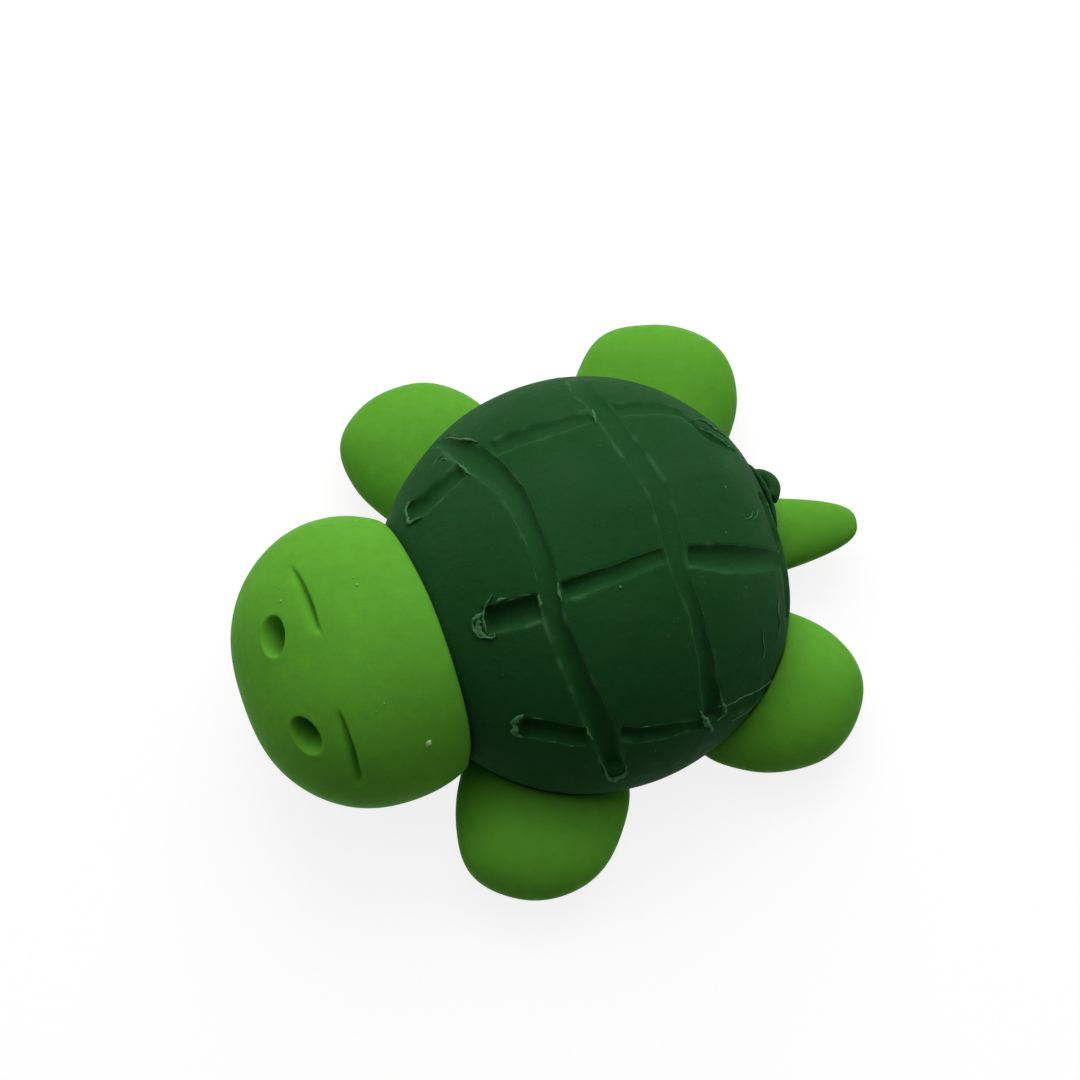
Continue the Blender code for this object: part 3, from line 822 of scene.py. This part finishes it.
def clay_material(name, colour, torn_colour, bloom, speck_share, grain, gloss=0.05, sheen=0.0):
    """Hand-worked clay: mottled, with pale torn edges, specks, fine grain, scratches and finger marks."""
    material = bpy.data.materials.new(name)
    bench = NodeBench(material)
    place = bench.add("ShaderNodeTexCoord").outputs["Object"]
    broad = bench.noise(place, scale=95.0, detail=2.0)
    fine = bench.noise(place, scale=900.0, detail=4.0, roughness=0.6)
    grit = bench.noise(place, scale=5200.0, detail=3.0, roughness=0.65)

    # Colour: broad and fine mottling, a dusty bloom, torn clay and two sizes of specks
    worked = bench.blend(bench.spread(broad, 0.3, 0.7), shade(colour, 0.9), shade(colour, 1.07))
    worked = bench.blend(bench.spread(fine, 0.35, 0.75, 0.0, 0.75), worked, shade(colour, 0.84))
    dusty = bench.times(bench.spread(broad, 0.45, 0.75), bench.spread(fine, 0.4, 0.8))
    worked = bench.blend(bench.times(dusty, bloom), worked, toward(colour, (0.5, 0.52, 0.5), 0.35))
    torn = bench.add("ShaderNodeAttribute", attribute_name="torn").outputs["Fac"]
    worked = bench.blend(bench.times(torn, 0.85), worked, torn_colour)
    specks = bench.specks(place, scale=420.0, share=speck_share, channel="Red", outer=0.045, inner=0.02)
    worked = bench.blend(specks, worked, toward(colour, (0.2, 0.5, 0.22), 0.3))
    grain_share = 1.5 * speck_share
    grains = bench.specks(place, scale=1500.0, share=grain_share, channel="Green", outer=0.12, inner=0.05)
    worked = bench.blend(bench.times(grains, 0.5), worked, toward(colour, (0.5, 0.6, 0.45), 0.15))

    # Height: grit and fine lumps, thin scratches in one direction and swirling finger marks in places
    strokes = {"Vector": place, "Rotation": (0.3, 0.2, 0.9), "Scale": (260.0, 5200.0, 900.0)}
    drag = bench.add("ShaderNodeMapping", strokes).outputs["Vector"]
    scratch = bench.spread(bench.noise(drag, scale=1.0, detail=2.0), 0.66, 0.74)
    ridges = {"Vector": place, "Scale": 330.0, "Distortion": 5.0, "Detail": 1.0, "Detail Scale": 0.6}
    swirl = bench.add("ShaderNodeTexWave", ridges).outputs["Fac"]
    pressed = bench.times(swirl, bench.spread(broad, 0.5, 0.68))
    height = bench.join(bench.times(grit, 0.4), bench.times(fine, 0.9))
    height = bench.join(height, bench.times(scratch, -0.15))
    height = bench.join(height, bench.times(pressed, 0.06))
    bump = bench.add("ShaderNodeBump", {"Height": height, "Strength": grain, "Distance": 0.12 * MM})
    rough = bench.spread(fine, 0.3, 0.75, 0.55, 0.72)
    shader = bench.add("ShaderNodeBsdfPrincipled", {
        "Base Color": worked, "Roughness": rough, "Normal": bump.outputs["Normal"],
        "Specular IOR Level": gloss, "Sheen Weight": sheen, "Sheen Roughness": 0.5})
    bench.add("ShaderNodeOutputMaterial", {"Surface": shader.outputs["BSDF"]})
    return material


def clay_once(name, colour, **finish):
    """The clay of that name, made at its first use."""
    return bpy.data.materials.get(name) or clay_material(name, colour, **finish)


def light_clay(clay):
    """The light green clay, smoothed by hand."""
    colour = tuple(clay.light_green)
    return clay_once("light_green_clay_worked", colour, torn_colour=toward(colour, (0.5, 0.8, 0.3), 0.3),
                     bloom=0.1, speck_share=0.02, grain=0.35)


def dark_clay(clay):
    """The dark green clay, with more grain and dust and less gloss."""
    return clay_once("dark_green_clay_worked", tuple(clay.dark_green), torn_colour=(0.075, 0.22, 0.085, 1.0),
                     bloom=0.1, speck_share=0.3, grain=0.9, gloss=0.025, sheen=0.015)


def finish_piece(piece, material, slot, *nodes):
    """Give a piece its clay, let it ride on the figure and stand for its solids."""
    piece.data.materials.append(material)
    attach(piece, ROOT)
    if nodes:
        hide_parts(*nodes)


# Pieces

class TORTOISE_OT_add_shell(bpy.types.Operator):
    """Add the pressed dome with its gouged grooves"""

    bl_idname = "tortoise.add_shell"
    bl_label = "Add shell"

    def execute(self, context):
        figure = settings(context)
        shell = figure.shell
        angles = row_angles(near=180, far=24, share=0.6)
        points, normals = on_shell(polar_grid(484, angles, UP), shell)
        relief, torn = groove_relief(points, all_grooves(shell))
        torn *= 0.5 * smooth_step(0.45, 0.85, 0.5 + hand_noise(points, cell=1.2 * MM, seed=3, height=0.5))
        bearing, latitude, reach, worn = RUBBED_PATCH
        middle, _ = on_shell(directions_of(bearing, latitude), shell)
        rubbed = worn * np.exp(-(np.linalg.norm(points - middle, axis=1) / (reach * MM)) ** 2)
        torn = np.maximum(torn, rubbed * (1.0 + hand_noise(points, cell=0.6 * MM, seed=4, height=0.5)))
        lumps = hand_noise(points, cell=6.0 * MM, seed=1, height=0.06 * MM)
        lumps += hand_noise(points, cell=1.6 * MM, seed=2, height=0.015 * MM)
        points += normals * (lumps - relief)[:, None]
        points[:, 2] = smooth_max(points[:, 2], 0.0, BELLY_EDGE)
        piece = add_closed("clay_shell", points, len(angles), {"torn": torn})
        finish_piece(piece, dark_clay(figure.clay), "dark_green_clay", "shell")
        return {"FINISHED"}


class TORTOISE_OT_add_groove_lips(bpy.types.Operator):
    """Add the thin ragged lips that the gouge raised along the grooves"""

    bl_idname = "tortoise.add_groove_lips"
    bl_label = "Add groove lips"

    def execute(self, context):
        figure = settings(context)
        shell = figure.shell
        grooves = all_grooves(shell)
        tubes = []
        for number, groove in enumerate(grooves):
            sideways = groove["sideways"]
            deep = np.clip(groove["depth"] / FULL_LIP_DEPTH, 0.1, 1.0) ** 1.5
            kept = shell.lip_height * deep * LIP_SHARES.get(groove["name"], 1.0)
            for side in (-1, 1):
                edge = groove["points"] + sideways * (side * groove["half"])[:, None]
                edge, normals = drop_on_shell(edge, shell)
                wander = hand_noise(edge, cell=0.7 * MM, seed=50 + number, height=0.06 * MM)
                edge = edge + sideways * wander[:, None]
                relief, _ = groove_relief(edge, grooves)
                ragged = np.maximum(hand_noise(edge, cell=0.5 * MM, seed=60 + number), 0.0)
                patchy = smooth_step(-0.25, 0.6, hand_noise(edge, cell=2.4 * MM, seed=70 + number + side))
                height = kept * (0.2 + ragged) * (0.15 + 0.85 * patchy)
                height *= 1.0 - 0.9 * smooth_step(*FLATTENED_LIP, relief)
                path = edge + normals * (0.3 * height - relief)[:, None]
                tubes.append(ribbon(path, normals, sideways, height, THINNEST_LIP + 0.45 * height))
        piece = add_tubes("groove_lips", tubes, full=FULL_LIP)
        finish_piece(piece, dark_clay(figure.clay), "dark_green_clay")
        return {"FINISHED"}


class TORTOISE_OT_add_torn_ends(bpy.types.Operator):
    """Add the torn clay at the ends and edges of the grooves"""

    bl_idname = "tortoise.add_torn_ends"
    bl_label = "Add torn ends"

    def execute(self, context):
        figure = settings(context)
        shell = figure.shell
        tubes = []
        count = 90
        for number, stops in enumerate(TORN_EDGES):
            directions, sizes = groove_course(stops, count)
            path, normals = on_shell(directions, shell)
            _, sideways = line_axes(path, normals)
            half, rise = MM * sizes.T
            ragged = 1.0 + hand_noise(path, cell=0.35 * MM, seed=80 + number, height=0.5)
            ragged += hand_noise(path, cell=0.2 * MM, seed=90 + number, height=0.12)
            lift = rise * (0.75 + hand_noise(path, cell=0.4 * MM, seed=120 + number, height=0.5))
            wander = half * hand_noise(path, cell=0.4 * MM, seed=160 + number, height=0.6)
            path = path + normals * lift[:, None] + sideways * wander[:, None]
            spread = np.maximum(half * swelling(count, 0.12, 0.4) * ragged, THINNEST)
            tubes.append(ribbon(path, normals, sideways, THINNEST + 0.55 * lift, spread, 8))
        piece = add_tubes("torn_groove_ends", tubes)
        finish_piece(piece, dark_clay(figure.clay), "dark_green_clay")
        return {"FINISHED"}


class TORTOISE_OT_add_shaving(bpy.types.Operator):
    """Add the rolled shaving that the tool left at the rear of the shell"""

    bl_idname = "tortoise.add_shaving"
    bl_label = "Add shaving"

    def execute(self, context):
        figure = settings(context)
        run = np.linspace(0.0, 1.0, 90)
        turn = np.linspace(*CURL_TURNS, len(run)) * DEG
        arm = np.cos(turn)[:, None] * PHOTO_AWAY + np.sin(turn)[:, None] * PHOTO_RIGHT
        radius = CURL_RADIUS + CURL_OPENING * run
        sink = CURL_DROP * (0.5 - run)
        path = np.array(CURL_MIDDLE) * MM + arm * radius[:, None] + UP * sink[:, None]
        wide = CURL_WIDTH * (1.0 + hand_noise(path, cell=0.5 * MM, seed=181, height=0.15))
        thick = CURL_THICKNESS * (1.0 + hand_noise(path, cell=0.9 * MM, seed=182, height=0.1))
        upright = np.tile(UP, (len(run), 1))
        curl = ribbon(path, arm, upright, thick, wide, 14)

        count = 60
        stops = np.array(SHAVING_LIP) * MM
        place = np.linspace(0.0, len(stops) - 1.0, count)
        path = np.stack([np.interp(place, np.arange(len(stops)), column) for column in stops.T], axis=1)
        swell = swelling(count, 0.1, 0.5)
        uneven = 1.0 + hand_noise(path, cell=0.6 * MM, seed=183, height=0.3)
        thick = SHAVING_LIP_THICKNESS * swell * uneven
        lip = ribbon(path, unit_of(path), upright[:count], thick, SHAVING_LIP_WIDTH * swell, 10)
        piece = add_tubes("rear_shaving", [curl, lip], torn=0.12)
        finish_piece(piece, dark_clay(figure.clay), "dark_green_clay")
        return {"FINISHED"}


def face_turn(head):
    """The turn of the face about the heading, as a matrix."""
    return np.array(Matrix.Rotation(head.face_roll, 3, "Y"))


def head_form(figure):
    """The head's middle and half sizes, the field of its pressed form and the depth of its carved marks."""
    head, shell = figure.head, figure.shell
    middle = np.array([0.0, head.press - shell.length / 2 - head.length / 2, head.rim_height])
    halves = np.array([head.width / 2, head.length / 2, head.height - head.rim_height])
    ahead = np.stack([-REAR, LEFT, UP], axis=1)
    eyes = []
    for sign in (1.0, -1.0):
        aim = face_turn(head) @ directions_of(sign * LEFT_EYE[0], LEFT_EYE[1])
        outward = unit_of(aim / halves)
        upward = unit_of(REAR - outward * outward[1])
        sideways = np.cross(upward, outward)
        slant = sign * head.eye_tilt
        along = sideways * math.cos(slant) + upward * math.sin(slant)
        eyes.append((middle + aim * halves, along, np.cross(outward, along)))
    brows = []
    for stops in BROWS:
        aims, deep = groove_course(stops, 120)
        line = middle + aims * halves
        tangents, across = line_axes(line, unit_of(aims / halves))
        brows.append((line, tangents, across, deep[:, 0] * MM))

    def field(points):
        """The head's ball with the hand's unevenness, pressed by the shell and the table."""
        ball = ball_field((points - middle) @ ahead, halves[[1, 0, 2]], head.chin_drop, OUTLINES["head"],
                          head.nape_power)
        ball = ball - hand_noise(points, cell=7.0 * MM, seed=21, height=0.08 * MM)
        return pressed_field(points, ball, figure, soft=1.4)

    def carve(points):
        """How deep the eyes and brows lie below points of the head.

        An eye is a steep oval well with a low swollen rim. A brow is a cut along a line, steep on its rear
        side and sloping on the other, fading at both ends."""
        depth = np.zeros(len(points))
        raised = np.zeros(len(points))
        for place, along, across in eyes:
            near = np.flatnonzero(np.linalg.norm(points - place, axis=1) < 2.0 * head.eye_width)
            offset = points[near] - place
            level = offset @ across / (head.eye_height / 2)
            length = offset @ along / (head.eye_width / 2)
            size = np.maximum(np.hypot(length, level), 1e-6)
            side, end = level / size, np.maximum(length, 0.0) / size
            foot = 0.66 + 0.16 * side + 0.1 * end
            brim = 1.15 - 0.11 * side
            well = 1.0 - smooth_step(foot, brim, size)
            well *= head.eye_depth * (1.0 + 0.2 * np.clip(level, -1.0, 1.0))
            depth[near] = np.maximum(depth[near], well)
            raised[near] += EYE_RIM * np.exp(-((size - 1.3) / 0.2) ** 2) * (0.6 - 0.4 * side)
        for line, tangents, across, deep in brows:
            near = near_line(points, line, BROW_MARGIN)
            nearest, offset = nearest_on_line(points[near], line)
            slope = (offset * across[nearest]).sum(1) * np.sign(across[0, 1])
            beyond = (offset * tangents[nearest]).sum(1)
            cut = np.where(slope > 0.0, np.exp(-(slope / BROW_STEEP) ** 2), np.exp(slope / BROW_SLOPE))
            cut *= np.exp(-(beyond / BROW_END) ** 2)
            depth[near] = np.maximum(depth[near], deep[nearest] * cut)
        return depth - raised

    return middle, halves, field, carve


class TORTOISE_OT_add_head(bpy.types.Operator):
    """Add the head with its poked eyes and cut brows"""

    bl_idname = "tortoise.add_head"
    bl_label = "Add head"

    def execute(self, context):
        figure = settings(context)
        middle, _, field, carve = head_form(figure)
        pole = face_turn(figure.head) @ directions_of(*FACE_MIDDLE)
        angles = row_angles(near=190, far=128, share=0.4)
        directions = polar_grid(310, angles, pole)
        points = pressed_surface(middle, directions, field, HEAD_REACH)
        points -= directions * carve(points)[:, None]
        piece = add_closed("clay_head", points, len(angles))
        finish_piece(piece, light_clay(figure.clay), "light_green_clay", "head")
        return {"FINISHED"}


class TORTOISE_OT_add_legs(bpy.types.Operator):
    """Add the four legs tucked under the rim of the shell"""

    bl_idname = "tortoise.add_legs"
    bl_label = "Add legs"

    def execute(self, context):
        figure = settings(context)
        for number, (name, sizes) in enumerate(LEGS.items()):
            bearing, turn, crest = sizes[:3]
            tuck, length, width, thickness = (size * MM for size in sizes[3:])
            outward = directions_of(bearing + turn, 0.0)
            across = np.array([-outward[1], outward[0], 0.0])
            middle = rim_point(bearing, figure.shell) + outward * (length / 2 - tuck)
            middle[2] = figure.legs.rim_height
            halves = np.array([length / 2, width / 2, thickness - figure.legs.rim_height])
            turned = np.stack([outward, across, UP], axis=1)

            def field(points):
                """The leg's ball with the hand's unevenness, pressed by the shell and the table."""
                ball = ball_field((points - middle) @ turned, halves, figure.legs.sole_drop, OUTLINES[name],
                                  crest=crest)
                ball = ball - hand_noise(points, cell=5.0 * MM, seed=31 + number, height=0.08 * MM)
                return pressed_field(points, ball, figure, soft=0.25)

            angles = row_angles(near=100, far=30, share=0.65)
            piece = add_pressed_lump("clay_" + name, middle, field, 220, angles, UP)
            finish_piece(piece, light_clay(figure.clay), "light_green_clay", name)
        return {"FINISHED"}


class TORTOISE_OT_add_tail(bpy.types.Operator):
    """Add the tapered tail"""

    bl_idname = "tortoise.add_tail"
    bl_label = "Add tail"

    def execute(self, context):
        figure = settings(context)
        tail = figure.tail
        axis = directions_of(180.0 - tail.turn / DEG, tail.lift / DEG)
        rim = rim_point(TAIL_BEARING, figure.shell) + UP * tail.axis_height
        reach = tail.length - tail.tuck
        sideways = unit_of(np.cross(UP, axis))
        upward = np.cross(axis, sideways)

        def field(points):
            """A roll that tapers to a blunt tip, flattened above, pressed by the shell and the table."""
            offset = points - rim
            along = offset @ axis
            beside, above = np.abs(offset @ sideways), offset @ upward
            above = np.where(above > 0.0, above / tail.flatness, -above)
            radius = tail.diameter / 2 * np.clip(1.0 - along / reach, 0.0, 1.0) ** tail.bluntness
            radius = np.minimum(radius, tail.diameter / 2)
            roll = np.hypot(np.hypot(beside, above), np.maximum(along - reach, 0.0)) - radius
            roll = smooth_max(roll, -along - tail.tuck, TAIL_END_EDGE)
            roll = roll - hand_noise(points, cell=4.0 * MM, seed=41, height=0.05 * MM)
            return pressed_field(points, roll, figure, soft=0.5)

        middle = rim + axis * TAIL_MIDDLE
        angles = row_angles(near=110, far=50, share=0.6)
        piece = add_pressed_lump("clay_tail", middle, field, 160, angles, axis)
        finish_piece(piece, light_clay(figure.clay), "light_green_clay", "tail")
        return {"FINISHED"}


class TORTOISE_OT_add_crumbs(bpy.types.Operator):
    """Add crumbs of clay that stuck to the head and the shell"""

    bl_idname = "tortoise.add_crumbs"
    bl_label = "Add crumbs"

    def execute(self, context):
        figure = settings(context)
        middle, halves, field, _ = head_form(figure)

        def crumb(place, normal, size, seed):
            """A flattened grain with an uneven skin, as rings round its normal."""
            columns = 10
            angles = row_angles(near=4, far=4, share=0.5)
            rings = polar_grid(columns, angles, normal)[:-2].reshape(len(angles), columns, 3)
            stretch = 1.0 - 0.45 * np.abs(rings @ normal)
            uneven = 1.0 + hand_noise(rings, cell=0.6, seed=seed, height=0.4)
            return place + rings * (size * MM / 2 * stretch * uneven)[..., None]

        def on_head(bearing, latitude):
            """The point of the head at a bearing and latitude, and the direction to it from the middle."""
            aim = unit_of(directions_of(bearing, latitude) * halves)
            return pressed_surface(middle, aim, field, HEAD_REACH), aim

        grains = []
        for number, (bearing, latitude, size) in enumerate(HEAD_CRUMBS):
            grains.append(crumb(*on_head(bearing, latitude), size, seed=200 + number))
        piece = add_tubes("head_crumbs", grains)
        finish_piece(piece, light_clay(figure.clay), "light_green_clay")
        bearing, latitude, size = PALE_CHIP
        piece = add_tubes("pale_chip", [crumb(*on_head(bearing, latitude), size, seed=230)])
        dry = clay_material("pale_dry_clay", (0.38, 0.6, 0.22), torn_colour=(0.46, 0.68, 0.28, 1.0),
                            bloom=0.2, speck_share=0.0, grain=0.5)
        finish_piece(piece, dry, "light_green_clay")
        grains = []
        for number, (bearing, latitude, size) in enumerate(SHELL_CRUMBS):
            place, normal = on_shell(directions_of(bearing, latitude), figure.shell)
            grains.append(crumb(place, normal, size, seed=240 + number))
        piece = add_tubes("shell_crumbs", grains)
        finish_piece(piece, dark_clay(figure.clay), "dark_green_clay")
        return {"FINISHED"}


class TORTOISE_OT_add_stage(bpy.types.Operator):
    """Add the floor, the window light and the camera"""

    bl_idname = "tortoise.add_stage"
    bl_label = "Add stage"

    def execute(self, context):
        stage = settings(context).stage
        azimuth, elevation = stage.azimuth, stage.elevation
        back = Vector((math.sin(azimuth) * math.cos(elevation), -math.cos(azimuth) * math.cos(elevation),
                       math.sin(elevation)))
        right = Vector((math.cos(azimuth), math.sin(azimuth), 0.0))
        up = back.cross(right)
        focus = stage.lens / SENSOR * PHOTO_SIDE
        across, down = (PHOTO_SIDE / 2 - pixel for pixel in BELLY_PIXEL)
        aim = -back + right * across / focus - up * down / focus
        toward_lens = -aim.normalized()
        level = up.cross(toward_lens).normalized()
        camera = bpy.data.cameras.new("photo_view")
        camera.lens = stage.lens
        camera.sensor_width = SENSOR
        viewer = bpy.data.objects.new("photo_view", camera)
        turned = Matrix((level, toward_lens.cross(level), toward_lens)).transposed().to_4x4()
        viewer.matrix_world = Matrix.Translation(back * stage.distance) @ turned
        context.scene.collection.objects.link(viewer)
        context.scene.camera = viewer

        away = Vector((-math.sin(azimuth), math.cos(azimuth), 0.0))
        for name, (swing, height, share) in WINDOWS.items():
            swing, height = math.radians(swing), math.radians(height)
            level_source = away * math.cos(swing) + right * math.sin(swing)
            source = level_source * math.cos(height) + Vector((0.0, 0.0, math.sin(height)))
            window = bpy.data.lights.new(name, "AREA")
            window.shape = "SQUARE"
            window.size = stage.window_size
            window.energy = stage.key_power * share
            lamp = bpy.data.objects.new(name, window)
            turned = source.to_track_quat("Z", "Y").to_matrix().to_4x4()
            lamp.matrix_world = Matrix.Translation(source * stage.window_distance) @ turned
            context.scene.collection.objects.link(lamp)

        world = bpy.data.worlds.new("soft_room")
        context.scene.world = world
        bench = NodeBench(world)
        strength = bench.spread(bench.seen_rays(), 0.0, 1.0, stage.fill, 1.0)
        sky = bench.add("ShaderNodeBackground", {"Color": WHITE, "Strength": strength})
        bench.add("ShaderNodeOutputWorld", {"Surface": sky.outputs["Background"]})

        paper = bpy.data.materials.new("pale_paper")
        bench = NodeBench(paper)
        seen = bench.seen_rays()
        tone = bench.spread(seen, 0.0, 1.0, FLOOR_BOUNCE, FLOOR_TONE)
        matt = bench.add("ShaderNodeBsdfDiffuse", {"Color": tone})
        glow = bench.add("ShaderNodeEmission", {"Color": WHITE, "Strength": bench.times(seen, FLOOR_GLOW)})
        both = bench.add("ShaderNodeAddShader", {0: matt.outputs["BSDF"], 1: glow.outputs["Emission"]})
        bench.add("ShaderNodeOutputMaterial", {"Surface": both.outputs["Shader"]})
        sheet = np.array([[-1.0, -1.0, 0.0], [1.0, -1.0, 0.0], [1.0, 1.0, 0.0], [-1.0, 1.0, 0.0]])
        no_triangles = np.zeros((0, 3), dtype=int)
        floor = add_mesh("pale_floor", sheet * FLOOR_HALF, np.array([[0, 1, 2, 3]]), no_triangles)
        floor.data.materials.append(paper)
        context.scene.view_settings.view_transform = "Standard"
        return {"FINISHED"}


class TORTOISE_PT_figure(bpy.types.Panel):
    """Lists the pieces of the figure"""

    bl_label = "Clay tortoise"
    bl_idname = "TORTOISE_PT_figure"
    bl_space_type = "VIEW_3D"
    bl_region_type = "UI"
    bl_category = "Tortoise"

    def draw(self, context):
        column = self.layout.column()
        for operator in OPERATORS:
            column.operator(operator.bl_idname)


OPERATORS = (
    TORTOISE_OT_add_shell,
    TORTOISE_OT_add_groove_lips,
    TORTOISE_OT_add_torn_ends,
    TORTOISE_OT_add_shaving,
    TORTOISE_OT_add_head,
    TORTOISE_OT_add_legs,
    TORTOISE_OT_add_tail,
    TORTOISE_OT_add_crumbs,
    TORTOISE_OT_add_stage,
)
CLASSES = (
    ShellSettings,
    HeadSettings,
    LegSettings,
    TailSettings,
    ClaySettings,
    StageSettings,
    TortoiseSettings,
) + OPERATORS + (TORTOISE_PT_figure,)


def register():
    """Register the classes and the figure's settings."""
    for item in CLASSES:
        bpy.utils.register_class(item)
    bpy.types.Scene.tortoise = PointerProperty(type=TortoiseSettings)


def unregister():
    """Remove the settings and the classes."""
    del bpy.types.Scene.tortoise
    for item in reversed(CLASSES):
        bpy.utils.unregister_class(item)


def main():
    """Build every piece in order."""
    register()
    bpy.ops.tortoise.add_shell()
    bpy.ops.tortoise.add_groove_lips()
    bpy.ops.tortoise.add_torn_ends()
    bpy.ops.tortoise.add_shaving()
    bpy.ops.tortoise.add_head()
    bpy.ops.tortoise.add_legs()
    bpy.ops.tortoise.add_tail()
    bpy.ops.tortoise.add_crumbs()
    bpy.ops.tortoise.add_stage()


if __name__ == "__main__":
    main()
